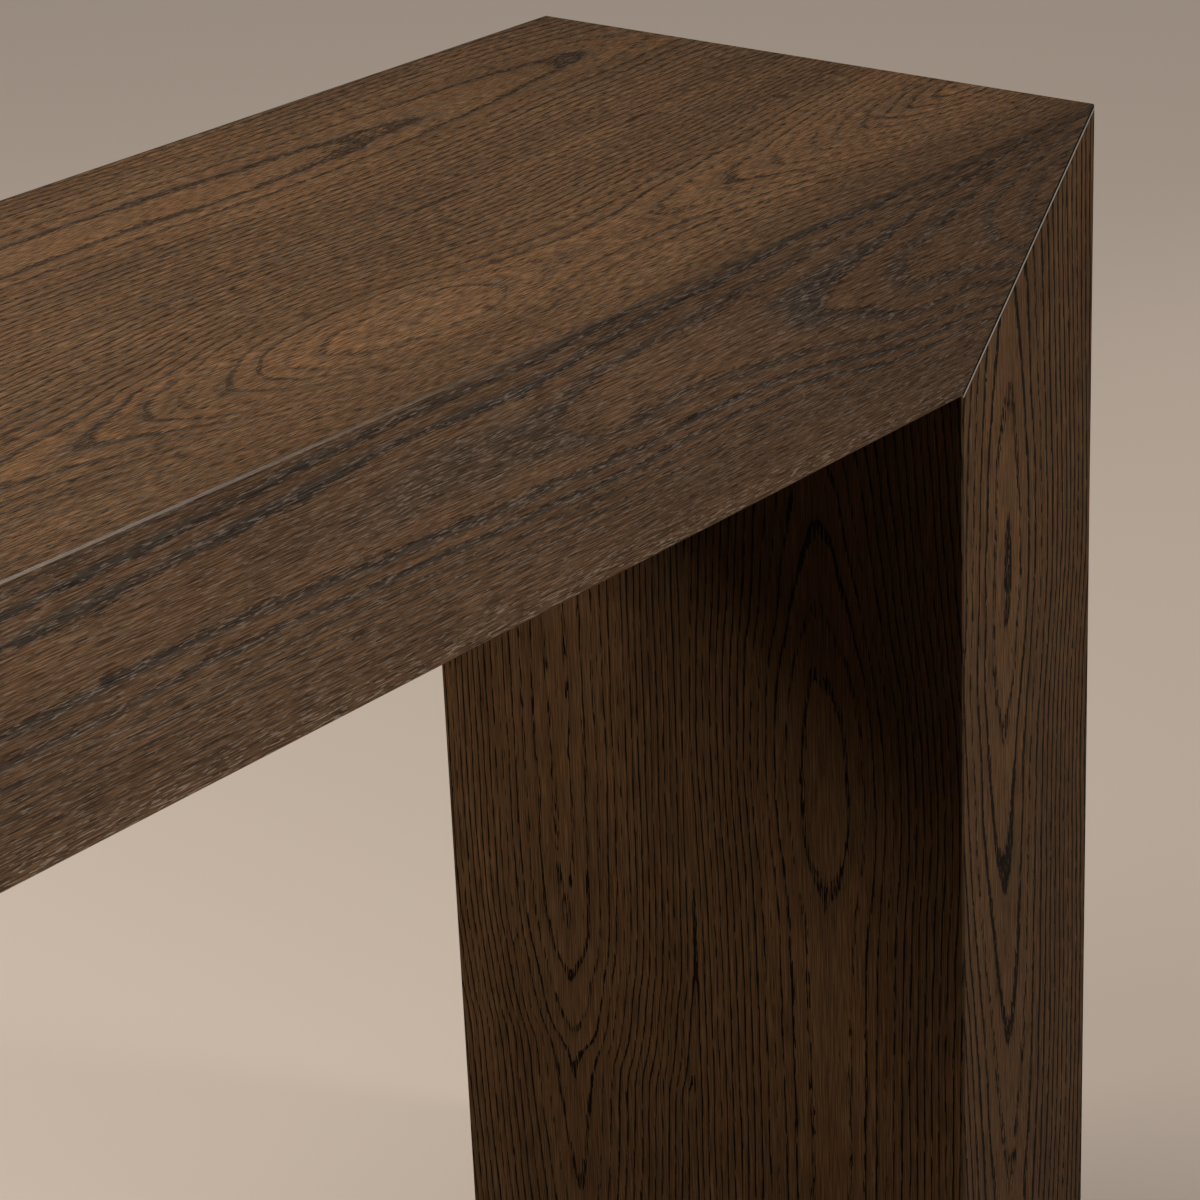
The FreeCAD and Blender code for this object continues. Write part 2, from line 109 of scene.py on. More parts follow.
def bare_wood(name, pale, dark, grain_length, grain_width, grain_axis="Y", across_plies=None):
    """Bare timber: long soft figure and fine fibres along an axis, and the lines of a plywood's plies, which are
    counted by a distance across them. Sizes are in metres."""
    material, tree, shader, point = new_material(name, roughness=0.62)

    def drawn_out(length, width, detail):
        """Noise drawn out along the grain, from its length and width in metres."""
        sizes = (length if axis == grain_axis else width for axis in "XYZ")
        scaled = [maths(tree, "DIVIDE", place, size) for place, size in zip(point, sizes)]
        return stretched_noise(tree, *scaled, detail)

    figure = drawn_out(grain_length, grain_width, 4.0)
    fibre_length, fibre_width = 0.0167, 0.0007
    fibre = drawn_out(fibre_length, fibre_width, 2.0)
    tone = smooth_step(tree, maths(tree, "ADD", figure, maths(tree, "MULTIPLY", fibre, 0.25)), 0.45, 0.85)
    colour = blend_colours(tree, tone, (*pale, 1), (*dark, 1))
    if across_plies:
        ply_thickness = 0.0021
        layer = maths(tree, "PINGPONG", maths(tree, "DIVIDE", across_plies(tree, *point), ply_thickness), 1.0)
        line = maths(tree, "MULTIPLY", smooth_step(tree, layer, 0.75, 0.95), 0.35)
        colour = blend_colours(tree, line, colour, (*dark, 1))
    tree.links.new(colour, shader.inputs["Base Color"])
    set_bump(tree, shader, fibre, distance=0.0002, strength=0.4)
    return material


def across_mitre(tree, x, y, z):
    """Distance square to the mitre plane of a corner, in metres."""
    return maths(tree, "MULTIPLY", maths(tree, "SUBTRACT", maths(tree, "ABSOLUTE", x), z), math.sqrt(0.5))


birch = {"pale": (0.60, 0.45, 0.28), "dark": (0.42, 0.28, 0.16), "grain_length": 0.25, "grain_width": 0.02}
upright_ply = bare_wood("upright_birch_ply", **birch, across_plies=lambda tree, x, y, z: x)
level_ply = bare_wood("level_birch_ply", **birch, across_plies=lambda tree, x, y, z: z)
bulkhead_ply = bare_wood("bulkhead_birch_ply", **birch, across_plies=across_mitre)
dress([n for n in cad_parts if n.startswith("top_rib")], upright_ply)
dress([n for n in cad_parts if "leg_rib" in n], level_ply)
dress([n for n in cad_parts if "bulkhead" in n], bulkhead_ply)

# Centre stringer and base cleats: planed pine, the stringer half-lapped over the ribs, the cleats glued to the wide
# boards of a leg just above its base. Straight growth rings run along them in pale cream and soft orange.
pine = {"pale": (0.66, 0.50, 0.30), "dark": (0.48, 0.30, 0.14), "grain_length": 0.5, "grain_width": 0.012}
dress(["centre_stringer"], bare_wood("stringer_pine", **pine, grain_axis="X"))
dress(["left_base_cleats", "right_base_cleats"], bare_wood("cleat_pine", **pine))

# Splines and loose tenons: strips of thin plywood in the long mitres, and square-edged beech tenons that key the
# two bulkheads at each corner. Both are cut to a push fit and glued.
beech = bare_wood("beech", pale=(0.62, 0.43, 0.27), dark=(0.50, 0.31, 0.18), grain_length=0.08, grain_width=0.004)
dress([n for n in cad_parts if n.endswith("_spline")], bare_wood("top_spline_ply", **birch, grain_axis="X"))
dress(["left_leg_splines", "right_leg_splines"], bare_wood("leg_spline_ply", **birch, grain_axis="Z"))
dress(["left_corner_tenons", "right_corner_tenons"], beech)

# Top panel and the legs' outer panels: crown-cut oak veneer on board, stained dark and lacquered matt over open pores.
# One run of it crosses the top and goes on down both ends, so the figure turns the corners as a waterfall does. Growth
# rings close into eyes where a heart of the log comes near the cut, and nest in peaks where it falls away.


def oak_group():
    """Brushed, dark-stained oak from a point along and across the grain in millimetres and its growth ring."""
    tree = bpy.data.node_groups.new("open_pore_oak", "ShaderNodeTree")
    for name in (
        # The point along and across the grain, its ring, and how far in it lies from an edge and into a mitre's V.
        *("Along", "Across", "Ring", "Edge", "Sunk"),
        # How strongly an arris takes its painted highlight, which leaf of veneer this is, and how light it is drawn.
        *("Glint", "Leaf", "Tone"),
        # Length and width of a brush stroke in millimetres, and how strongly strokes show.
        *("Length", "Width", "Stroke"),
        # Length of a pore, how far pores fray a ring, the share of a ring that its line of pores takes, how closely
        # they stand in that line, and how dark they are.
        *("Dash", "Ragged", "Line", "Bold", "Pore"),
        # Share of duller wood, smoky bands along the rings, how far these come and go in patches, and pale flecks
        # painted as glints of light off the brushed grain.
        *("Dull", "Smoke", "Patchy", "Glint_flecks"),
        # How far rings fade away from the heart, or strengthen if below zero, and how much painted highlight rather
        # than painted shade a mitre's line takes.
        *("Fade", "Mitre_highlight"),
    ):
        tree.interface.new_socket(name, in_out="INPUT", socket_type="NodeSocketFloat")
    tree.interface.new_socket("Colour", in_out="OUTPUT", socket_type="NodeSocketColor")
    for name in ("Roughness", "Height"):
        tree.interface.new_socket(name, in_out="OUTPUT", socket_type="NodeSocketFloat")
    given = tree.nodes.new("NodeGroupInput").outputs
    result = tree.nodes.new("NodeGroupOutput").inputs

    def grain(length, width, layer, detail=1.0):
        """Noise drawn out along the grain, from its length and width in millimetres."""
        return stretched_noise(
            tree,
            maths(tree, "DIVIDE", given["Along"], length),
            maths(tree, "DIVIDE", given["Across"], width),
            maths(tree, "ADD", given["Leaf"], layer),
            detail,
        )

    def centred(value, amount):
        """Turns noise of 0 to 1 into a swing of an amount about zero."""
        return maths(tree, "MULTIPLY", maths(tree, "SUBTRACT", value, 0.5), amount)

    def shaded(colour, value, amount):
        """Darkens and lightens a colour about its own level."""
        tone = maths(tree, "MAXIMUM", maths(tree, "ADD", centred(value, amount), 1.0), 0.1)
        grey = wire(tree, "ShaderNodeCombineColor", {0: tone, 1: tone, 2: tone})
        return blend_colours(tree, 1.0, colour, grey, "MULTIPLY")

    strokes = smooth_step(tree, grain(given["Length"], given["Width"], layer=0.0, detail=2.0), 0.25, 0.75)
    fibres = smooth_step(tree, grain(length=60.0, width=0.9, layer=7.3), 0.30, 0.70)
    dashes = grain(given["Dash"], width=1.0, layer=13.1)
    cloud = grain(length=150.0, width=36.0, layer=21.7, detail=2.0)
    warmth = smooth_step(tree, grain(length=48.0, width=16.0, layer=51.7), 0.30, 0.70)
    wander = centred(grain(length=60.0, width=14.0, layer=31.9), 0.55)
    ring = maths(tree, "ADD", given["Ring"], centred(dashes, given["Ragged"]))
    ring = maths(tree, "ADD", ring, wander)
    phase = maths(tree, "FRACT", ring)
    year = wire(tree, "ShaderNodeTexWhiteNoise", {"W": maths(tree, "FLOOR", ring)}, noise_dimensions="1D")
    weakest_year, year_swing = 0.55, 0.45
    strength = maths(tree, "MULTIPLY_ADD", year, year_swing, weakest_year)
    faded = maths(tree, "MULTIPLY", smooth_step(tree, given["Ring"], 3.0, 8.0), given["Fade"])
    strength = maths(tree, "MULTIPLY", strength, maths(tree, "SUBTRACT", 1.0, faded))
    line_end = smooth_step(tree, maths(tree, "DIVIDE", phase, given["Line"]), 1.35, 0.65)
    line = maths(tree, "MULTIPLY", smooth_step(tree, phase, 0.0, 0.06), line_end)
    line = maths(tree, "MULTIPLY", line, strength)
    band = maths(tree, "MULTIPLY", smooth_step(tree, phase, 0.0, 0.15), smooth_step(tree, phase, 0.70, 0.20))
    band = maths(tree, "MULTIPLY", band, strength)
    sparse_level = 0.73
    level = maths(tree, "SUBTRACT", sparse_level, maths(tree, "MULTIPLY", line, given["Bold"]))
    pore = smooth_step(tree, maths(tree, "SUBTRACT", dashes, level), -0.03, 0.04)
    # Pale flecks along the grain, thicker in the ring bands: painted glints of light.
    glint_fleck = smooth_step(tree, grain(length=7.0, width=0.7, layer=41.3), 0.59, 0.64)
    glint_fleck = maths(tree, "MULTIPLY", glint_fleck, maths(tree, "MULTIPLY_ADD", band, 0.4, 0.6))
    patches = smooth_step(tree, grain(length=130.0, width=13.0, layer=61.7), 0.36, 0.60)
    thinned = maths(tree, "MULTIPLY", maths(tree, "SUBTRACT", 1.0, patches), given["Patchy"])
    smoke = maths(tree, "MULTIPLY", band, maths(tree, "SUBTRACT", 1.0, thinned))

    late_wood = (0.122, 0.0625, 0.0275, 1)
    heart_wood = (0.143, 0.0730, 0.0325, 1)
    early_wood = (0.076, 0.0400, 0.0185, 1)
    smoke_grey = (0.050, 0.0390, 0.0300, 1)
    # Near black of the pores, also used as the painted shade on a mitre's darker side.
    pores_and_painted_shade = (0.012, 0.0075, 0.0045, 1)
    painted_glint_colour = (0.330, 0.2500, 0.1900, 1)
    dull_wood = (0.090, 0.0520, 0.0300, 1)
    cool_tint, warm_tint = (0.97, 1.01, 1.04, 1), (1.03, 0.99, 0.96, 1)
    colour = blend_colours(tree, smooth_step(tree, given["Ring"], 4.0, -1.0), late_wood, heart_wood)
    tint = blend_colours(tree, warmth, cool_tint, warm_tint)
    colour = blend_colours(tree, 1.0, colour, tint, "MULTIPLY")
    colour = blend_colours(tree, given["Dull"], colour, dull_wood)
    colour = blend_colours(tree, maths(tree, "MULTIPLY", band, 0.5), colour, early_wood)
    colour = blend_colours(tree, maths(tree, "MULTIPLY", smoke, given["Smoke"]), colour, smoke_grey)
    colour = shaded(colour, cloud, 0.9)
    colour = shaded(colour, fibres, 0.25)
    colour = shaded(colour, strokes, given["Stroke"])
    tone = wire(tree, "ShaderNodeCombineColor", {0: given["Tone"], 1: given["Tone"], 2: given["Tone"]})
    colour = blend_colours(tree, 1.0, colour, tone, "MULTIPLY")
    colour = blend_colours(tree, maths(tree, "MULTIPLY", pore, given["Pore"]), colour, pores_and_painted_shade)
    colour = blend_colours(tree, maths(tree, "MULTIPLY", glint_fleck, given["Glint_flecks"]), colour, painted_glint_colour)

    face = wire(tree, "ShaderNodeNewGeometry", output=1)
    turned = wire(tree, "ShaderNodeVectorMath", {0: face}, operation="ABSOLUTE")
    parts = tree.nodes.new("ShaderNodeSeparateXYZ")
    tree.links.new(turned, parts.inputs[0])
    most = maths(tree, "MAXIMUM", maths(tree, "MAXIMUM", parts.outputs[0], parts.outputs[1]), parts.outputs[2])
    least = maths(tree, "MINIMUM", maths(tree, "MINIMUM", parts.outputs[0], parts.outputs[1]), parts.outputs[2])
    arris = smooth_step(tree, most, 0.97, 0.9)
    mitre = smooth_step(tree, least, 0.2, 0.4)
    # Colour of the painted shade in a narrow band beside an edge.
    edge_painted_shade = (0.034, 0.0270, 0.0185, 1)
    # Colour of the pale painted highlight along an arris.
    arris_painted_highlight = (0.250, 0.2150, 0.1850, 1)
    # Painted highlight for a mitre's lit side, and painted shadow for the bottom of its V.
    mitre_painted_highlight, groove_painted_shadow = (0.62, 0.55, 0.48, 1), (0.006, 0.004, 0.003, 1)
    # Painted shade beside the edge, strongest where the arris's painted highlight fades towards the right.
    beside_edge = smooth_step(tree, given["Edge"], 4.0, 0.5)
    edge_shade_share = maths(tree, "MULTIPLY", beside_edge, maths(tree, "SUBTRACT", 0.4, given["Glint"]))
    near_edge = maths(tree, "MULTIPLY", smooth_step(tree, given["Edge"], 0.0, 30.0), 0.5)
    colour = shaded(colour, near_edge, 0.3)
    colour = blend_colours(tree, edge_shade_share, colour, edge_painted_shade)
    # Paints the highlight onto the arris, as far as Glint asks; the legs and inner run take a little of it everywhere.
    colour = blend_colours(tree, maths(tree, "MULTIPLY", arris, given["Glint"]), colour, arris_painted_highlight)
    # A mitre's V: painted highlight on the legs' boards, painted shade on the aprons, and a near-black painted shadow
    # where the V is deep.
    mitre_depths = smooth_step(tree, given["Sunk"], 0.35, 0.50)
    mitre_painted_light = blend_colours(tree, given["Mitre_highlight"], pores_and_painted_shade, mitre_painted_highlight)
    mitre_painted_light = blend_colours(tree, mitre_depths, mitre_painted_light, groove_painted_shadow)
    colour = blend_colours(tree, mitre, colour, mitre_painted_light)
    tree.links.new(colour, result["Colour"])
    roughness = maths(tree, "MULTIPLY_ADD", pore, 0.2, maths(tree, "MULTIPLY_ADD", strokes, -0.2, 0.66))
    tree.links.new(maths(tree, "MULTIPLY_ADD", arris, -0.25, roughness), result["Roughness"])
    height = maths(tree, "MULTIPLY_ADD", pore, -0.6, maths(tree, "MULTIPLY_ADD", strokes, 0.5, 0.5))
    tree.links.new(height, result["Height"])
    return tree


open_pore_oak = oak_group()


def along_curve(tree, value, points):
    """A smooth curve through points of (place along the grain, value), both in millimetres."""
    points = sorted(points)
    first, last = points[0][0], points[-1][0]
    margin = 1.0
    low = min(v for _, v in points) - margin
    high = max(v for _, v in points) + margin
    share = wire(tree, "ShaderNodeMapRange", {0: value, 1: first, 2: last})
    made = tree.nodes.new("ShaderNodeFloatCurve")
    made.inputs["Factor"].default_value = 1.0
    tree.links.new(share, made.inputs["Value"])
    curve = made.mapping.curves[0]
    scaled = [((s - first) / (last - first), (v - low) / (high - low)) for s, v in points]
    curve.points[0].location = scaled[0]
    curve.points[1].location = scaled[-1]
    for location in scaled[1:-1]:
        curve.points.new(*location)
    made.mapping.update()
    return wire(tree, "ShaderNodeMapRange", {0: made.outputs[0], 3: low, 4: high})


def oak_veneer(name, along, across, hearts, rings, finish, specular=0.12):
    """A leaf of oak veneer. Each heart has its line across the leaf and its depth below it, at places along the grain,
    and a roundness: 2 makes round peaks, less makes pointed ones. A clear heart has no rings inside its first one.
    Rings have a width from the first one's reach on, and a finer one beyond a further reach, all in millimetres."""
    material, tree, shader, point = new_material(name, roughness=0.6, specular=specular)
    along = maths(tree, "MULTIPLY", along(tree, *point), 1000.0)
    across = maths(tree, "MULTIPLY", across(tree, *point), 1000.0)
    first, width = rings["first"], rings["width"]
    fine_from, fine_width = rings["fine_from"], rings["fine_width"]
    inside_first = -0.55
    blend_of_widths, blend_of_hearts = 10.0, 1.5
    ring = None
    for heart in hearts:
        side = maths(tree, "SUBTRACT", across, along_curve(tree, along, heart["line"]))
        depth = along_curve(tree, along, heart["depth"])
        roundness = heart["roundness"]
        side = maths(tree, "POWER", maths(tree, "ABSOLUTE", side), roundness)
        depth = maths(tree, "POWER", depth, roundness)
        reach = maths(tree, "POWER", maths(tree, "ADD", side, depth), 1 / roundness)
        beyond = maths(tree, "SMOOTH_MAX", maths(tree, "SUBTRACT", reach, fine_from), 0.0, blend_of_widths)
        count = maths(tree, "DIVIDE", maths(tree, "SUBTRACT", reach, first), width)
        count = maths(tree, "MULTIPLY_ADD", beyond, 1 / fine_width - 1 / width, count)
        if heart.get("clear"):
            count = maths(tree, "MAXIMUM", count, inside_first)
        ring = count if ring is None else maths(tree, "SMOOTH_MIN", ring, count, blend_of_hearts)
    oak = tree.nodes.new("ShaderNodeGroup")
    oak.node_tree = open_pore_oak
    tree.links.new(along, oak.inputs["Along"])
    tree.links.new(across, oak.inputs["Across"])
    tree.links.new(ring, oak.inputs["Ring"])
    away_from_edges = {"Sunk": from_faces, "Edge": 100.0, "Glint": 0.1}
    for place, value in {**away_from_edges, **finish}.items():
        if callable(value):
            tree.links.new(value(tree, *point), oak.inputs[place])
        else:
            oak.inputs[place].default_value = value
    tree.links.new(oak.outputs["Colour"], shader.inputs["Base Color"])
    tree.links.new(oak.outputs["Roughness"], shader.inputs["Roughness"])
    set_bump(tree, shader, oak.outputs["Height"], distance=0.0003, strength=0.7)
    return material


def waterfall_along(edge):
    """Distance along a run that crosses the table at a height and goes on down at both ends."""

    def along(tree, x, y, z):
        drop = maths(tree, "SUBTRACT", edge, z)
        return maths(tree, "MULTIPLY_ADD", maths(tree, "SIGN", x), drop, x)

    return along


half_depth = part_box("rear_apron")[1].y


def from_faces(tree, x, y, z):
    """Millimetres in from the front or back face."""
    return maths(tree, "MULTIPLY", maths(tree, "SUBTRACT", half_depth, maths(tree, "ABSOLUTE", y)), 1000.0)


def glint(tree, x, y, z):
    """How strongly an arris takes its painted highlight: most at the left end, not at all at the right."""
    return smooth_step(tree, x, 0.45, -0.35)


def quiet_in_front(tree, x, y, z):
    """Pores stand dark over most of the leaf, are quieter round the eye, and fill with lacquer along the front."""
    past_eye = smooth_step(tree, x, 0.40, 0.50)
    place = maths(tree, "MULTIPLY_ADD", past_eye, 0.025, y)
    dark = maths(tree, "MULTIPLY_ADD", smooth_step(tree, place, -0.158, -0.122), 0.46, 0.28)
    round_eye = maths(tree, "MULTIPLY", smooth_step(tree, y, -0.03, -0.09), maths(tree, "SUBTRACT", 1.0, past_eye))
    return maths(tree, "MULTIPLY_ADD", round_eye, -0.20, dark)


def darker_front_shaded_right(tree, x, y, z):
    """Darker along the front, and darker towards the right-hand end and the right leg's outer panel as painted shade.
    """
    tone = maths(tree, "MULTIPLY_ADD", smooth_step(tree, y, -0.165, -0.110), 0.14, 0.90)
    # Painted shade: a tenth darker towards the right-hand end.
    return maths(tree, "MULTIPLY_ADD", smooth_step(tree, x, 0.55, 0.74), -0.10, tone)


table_top_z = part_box("top_panel")[1].z
outer_veneer = oak_veneer(
    "outer_oak_veneer",
    waterfall_along(table_top_z),
    lambda tree, x, y, z: y,
    [
        {
            "line": [
                (-1500, -60), (-700, -90), (0, -105), (135, -110), (302, -118), (405, -116), (762, -100), (1500, -60),
            ],
            "depth": [
                (-1500, 70), (-900, 34), (-400, 86), (0, 84), (90, 80), (130, 76), (153, 70.8), (182, 65.6),
                (202, 60.4), (217, 55.2), (238, 50), (270, 45), (302, 43.3), (335, 45), (356, 50), (406, 55.2),
                (446, 57.5), (500, 64), (600, 80), (762, 95), (1500, 120),
            ],
            "clear": True, "roundness": 1.75,
        },
        {
            "line": [(-1500, -100), (446, -113), (542, -109), (620, -112), (790, -108), (1100, -80), (1500, -60)],
            "depth": [
                (-1500, 120), (200, 100), (380, 66), (446, 57.5), (483, 55.2), (542, 50), (583, 44.8), (615, 39.6),
                (638, 34.4), (660, 29.2), (684, 24), (708, 18.8), (790, 9), (900, 24), (1050, 48), (1500, 80),
            ],
            "roundness": 1.75,
        },
        {
            "line": [
                (-1500, 90), (-600, 60), (0, 100), (280, 111), (450, 107), (537, 110), (700, 116), (900, 104),
                (1100, 120), (1500, 110),
            ],
            "depth": [
                (-1500, 45), (-900, 70), (-500, 52), (0, 57), (200, 57.4), (300, 57.8), (400, 58.0), (480, 59.2),
                (540, 60.4), (620, 62.8), (700, 65.6), (800, 70), (1100, 50), (1500, 60),
            ],
            "roundness": 2.0,
        },
    ],
    {"first": 49.1, "width": 5.2, "fine_from": 72.0, "fine_width": 4.2},
    {
        "Leaf": 1.0, "Tone": darker_front_shaded_right, "Length": 9.0, "Width": 0.65, "Stroke": 1.9, "Dash": 6.0, "Ragged": 0.4,
        "Line": 0.27, "Bold": 0.36, "Pore": quiet_in_front, "Dull": 0.0, "Smoke": 0.3, "Patchy": 0.5, "Glint_flecks": 0.25,
        "Fade": -0.3, "Mitre_highlight": 0.2,
        "Edge": from_faces, "Glint": glint,
    },
)
dress(["top_panel", "left_leg_outer_panel", "right_leg_outer_panel"], outer_veneer)

# Aprons: the long narrow boards on the front and back of the top, veneered along their length. Their pores lie shallow,
# so the rings show as soft smoky bands, with pale flecks painted on as glints of light off the brushed grain.


def below_top(tree, x, y, z):
    """Millimetres down from the table's top."""
    return maths(tree, "MULTIPLY", maths(tree, "SUBTRACT", table_top_z, z), 1000.0)


def glints_thickest_low_down(tree, x, y, z):
    """Painted glint flecks come thickest along the lower edge."""
    return maths(tree, "MULTIPLY_ADD", smooth_step(tree, below_top(tree, x, y, z), 108.0, 124.0), 0.5, 0.5)


apron_rings = {"first": 60.0, "width": 3.7, "fine_from": 78.0, "fine_width": 3.2}
apron_finish = {
    "Leaf": 23.0, "Tone": 0.97, "Length": 18.0, "Width": 0.65, "Stroke": 1.45, "Dash": 7.0, "Ragged": 0.5,
    "Line": 0.30, "Bold": 0.31, "Pore": 0.3, "Dull": 0.5, "Smoke": 1.1, "Patchy": 0.3, "Glint_flecks": glints_thickest_low_down,
    "Fade": 0.6, "Mitre_highlight": 0.0,
    "Edge": below_top, "Glint": glint,
}
front_apron_veneer = oak_veneer(
    "front_apron_oak_veneer",
    lambda tree, x, y, z: x,
    lambda tree, x, y, z: z,
    [
        {
            "line": [
                (-762, 700), (-300, 704), (0, 718), (200, 722), (290, 721), (490, 726), (575, 720), (650, 722),
                (762, 720),
            ],
            "depth": [
                (-762, 58), (-500, 63), (-300, 66.2), (0, 66.5), (60, 66.4), (120, 66.0), (150, 65.5), (180, 65.1),
                (220, 64.8), (270, 64.6), (300, 64.5), (325, 63.4), (345, 63.1), (400, 62.8), (460, 62.0), (490, 61.0),
                (520, 60.0), (540, 59.4), (560, 58.6), (575, 57.4), (592, 56.3), (620, 55.7), (643, 54.9),
                (655, 53.7), (668, 52.6), (700, 49.5), (762, 43),
            ],
            "roundness": 2.2,
        },
    ],
    apron_rings,
    apron_finish,
)
dress(["front_apron"], front_apron_veneer)
rear_apron_veneer = oak_veneer(
    "rear_apron_oak_veneer",
    lambda tree, x, y, z: x,
    lambda tree, x, y, z: z,
    [
        {
            "line": [(-762, 690), (-350, 700), (100, 684), (500, 702), (762, 694)],
            "depth": [(-762, 66), (-480, 55), (-150, 63), (180, 58), (420, 67), (762, 57)],
            "roundness": 2.0,
        },
    ],
    apron_rings,
    {**apron_finish, "Leaf": 31.0},
)
dress(["rear_apron"], rear_apron_veneer)

# Front and rear boards of the legs: narrow upright boards, with the grain running up and down. Pores gather in black
# patches along the heart, and the rings close up into fine straight lines towards the outer edge.


def leg_face_veneer(name, hearts, leaf):
    """Veneer of an upright board, from its hearts and its leaf."""
    return oak_veneer(
        name,
        lambda tree, x, y, z: z,
        lambda tree, x, y, z: x,
        hearts,
        {"first": 24.3, "width": 5.0, "fine_from": 55.0, "fine_width": 3.9},
        {
            "Leaf": leaf, "Tone": 1.18, "Length": 20.0, "Width": 0.65, "Stroke": 0.9, "Dash": 9.0, "Ragged": 0.25,
            "Line": 0.31, "Bold": 0.41, "Pore": 1.0, "Dull": 0.0, "Smoke": 0.0, "Patchy": 0.0, "Glint_flecks": 0.05,
            "Fade": -0.2, "Mitre_highlight": 1.0,
        },
    )


right_front_veneer = leg_face_veneer(
    "right_leg_front_oak_veneer",
    [
        {
            "line": [(0, 684), (200, 682), (317, 677), (432, 674), (522, 678), (644, 678), (762, 684)],
            "depth": [
                (0, 52), (140, 45), (242, 40), (332, 35), (432, 30), (480, 26.4), (522, 25.4), (560, 26.2), (621, 30),
                (690, 35), (762, 41),
            ],
            "roundness": 1.7,
        },
    ],
    leaf=43.0,
)
dress(["right_leg_front_board"], right_front_veneer)
right_rear_veneer = leg_face_veneer(
    "right_leg_rear_oak_veneer",
    [
        {
            "line": [(0, 716), (250, 722), (500, 712), (762, 718)],
            "depth": [(0, 28), (180, 46), (380, 60), (560, 40), (762, 27)],
            "roundness": 1.7,
        },
    ],
    leaf=47.0,
)
dress(["right_leg_rear_board"], right_rear_veneer)
left_face_veneer = leg_face_veneer(
    "left_leg_face_oak_veneer",
    [
        {
            "line": [(0, -700), (280, -688), (480, -694), (762, -706)],
            "depth": [(0, 34), (160, 27), (330, 44), (520, 58), (762, 36)],
            "roundness": 1.7,
        },
    ],
    leaf=53.0,
)
dress(["left_leg_front_board", "left_leg_rear_board"], left_face_veneer)

# Soffit and the legs' inner panels: one more run of crown-cut veneer, on the inside of the arch. On the right leg a
# closed eye stands towards the front and a row of peaks points down towards the back.
soffit_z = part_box("soffit_panel")[0].z
inner_veneer = oak_veneer(
    "inner_oak_veneer",
    waterfall_along(soffit_z),
    lambda tree, x, y, z: y,
    [
        {
            "line": [(-1270, 60), (-600, 90), (0, 70), (635, 96), (1015, 99), (1150, 99), (1270, 98)],
            "depth": [
                (-1270, 60), (-900, 34), (-300, 80), (300, 38), (635, 32.2), (870, 31.8), (960, 32.3), (1015, 33.3),
                (1066, 39.8), (1105, 46.3), (1133, 52.8), (1170, 54.6), (1211, 57.0), (1270, 60),
            ],
            "roundness": 1.55,
        },
        {
            "line": [(-1270, -80), (-500, -110), (0, -90), (635, -92), (888, -97), (1050, -97), (1270, -95)],
            "depth": [
                (-1270, 38), (-800, 70), (-200, 36), (400, 72), (635, 60), (700, 55), (785, 46.3), (825, 39.8),
                (860, 36.5), (888, 35.5), (915, 36.5), (950, 39.8), (985, 42), (1035, 43.2), (1100, 43.6), (1270, 45),
            ],
            "clear": True, "roundness": 1.75,
        },
    ],
    {"first": 39.8, "width": 6.5, "fine_from": 52.0, "fine_width": 4.3},
    {
        # Tone 1.45 draws this run lighter than the others: painted light that lifts it in the shade under the top.
        "Leaf": 61.0, "Tone": 1.45, "Length": 26.0, "Width": 0.8, "Stroke": 0.9, "Dash": 14.0, "Ragged": 0.25,
        "Line": 0.26, "Bold": 0.33, "Pore": 1.0, "Dull": 0.0, "Smoke": 0.0, "Patchy": 0.0, "Glint_flecks": 0.05,
        "Fade": -0.3, "Mitre_highlight": 0.2,
    },
    specular=0.03,
)
dress(["soffit_panel", "left_leg_inner_panel", "right_leg_inner_panel"], inner_veneer)

# Base boards: plywood sealed with the same dark stain, set up inside the bottom of each leg to close it. Each is held
# up to its cleats by four round-headed cross-recess screws, and carries the threaded inserts of two feet.
sealed_ply = bare_wood(
    "sealed_ply", pale=(0.060, 0.042, 0.031), dark=(0.034, 0.024, 0.018), grain_length=0.2, grain_width=0.015
)
dress(["left_base_board", "right_base_board"], sealed_ply)


def zinc(name, thread_pitch=None, thread_from=0.0):
    """Bright zinc plate with fine drawing marks, and the turns of a screw thread above a height if it has one."""
    material, tree, shader, (x, y, z) = new_material(name, roughness=0.32, metallic=1.0)
    marks_round, marks_up = 300.0, 90.0
    cloud = stretched_noise(
        tree,
        maths(tree, "MULTIPLY", x, marks_round),
        maths(tree, "MULTIPLY", y, marks_round),
        maths(tree, "MULTIPLY", z, marks_up),
        detail=3.0,
    )
    colour = blend_colours(tree, cloud, (0.50, 0.50, 0.48, 1), (0.66, 0.65, 0.60, 1))
    tree.links.new(colour, shader.inputs["Base Color"])
    height = maths(tree, "MULTIPLY", cloud, 0.2)
    if thread_pitch:
        turns = maths(tree, "PINGPONG", maths(tree, "MULTIPLY", z, 2 / thread_pitch), 1.0)
        turns = maths(tree, "MULTIPLY", turns, maths(tree, "GREATER_THAN", z, thread_from))
        height = maths(tree, "ADD", height, turns)
    set_bump(tree, shader, height, distance=0.0004, strength=0.7)
    return material


bright_zinc = zinc("bright_zinc")


